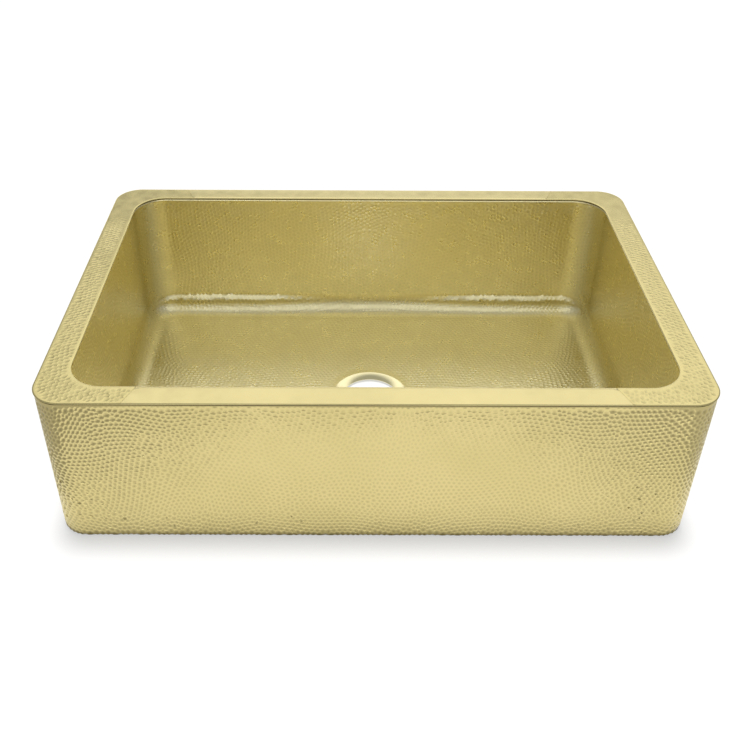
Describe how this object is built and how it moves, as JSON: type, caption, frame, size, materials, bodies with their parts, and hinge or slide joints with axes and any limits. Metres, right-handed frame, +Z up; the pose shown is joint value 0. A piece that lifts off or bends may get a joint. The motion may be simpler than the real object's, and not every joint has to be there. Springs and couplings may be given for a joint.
{
  "type": "farmhouse apron front sink",
  "caption": "Rectangular farmhouse sink in hammered brass, with a flat rim, an apron front and a round drain hole.",
  "frame": {"origin": "on the surface the sink stands on, under the middle of its overall box", "axes": "+X to the right along the sink's length, -Y towards the apron front, +Z up"},
  "size_m": [0.8382, 0.5588, 0.2286],
  "materials": {
    "hammered_brass": "hammered and lightly brushed",
    "rim_brass": "brushed flat",
    "smooth_brass": "smooth satin",
    "raw_brass": "unpolished mill sheet"
  },
  "bodies": {
    "root": {"bowl": "hammered_brass", "drain_seat": "smooth_brass", "rim_front": "rim_brass", "rim_back": "rim_brass", "rim_left": "rim_brass", "rim_right": "rim_brass", "front_apron": "hammered_brass", "back_panel": "hammered_brass", "left_side_panel": "hammered_brass", "right_side_panel": "hammered_brass", "seam_strip_front_left": "raw_brass", "seam_strip_front_right": "raw_brass", "seam_strip_back_left": "raw_brass", "seam_strip_back_right": "raw_brass", "front_stay_left": "raw_brass", "front_stay_centre": "raw_brass", "front_stay_right": "raw_brass", "back_stay_left": "raw_brass", "back_stay_centre": "raw_brass", "back_stay_right": "raw_brass", "left_stay_front": "raw_brass", "left_stay_back": "raw_brass", "right_stay_front": "raw_brass", "right_stay_back": "raw_brass", "floor_channel_far_left": "raw_brass", "floor_channel_left": "raw_brass", "floor_channel_right": "raw_brass", "floor_channel_far_right": "raw_brass"}
  },
  "joints": []
}
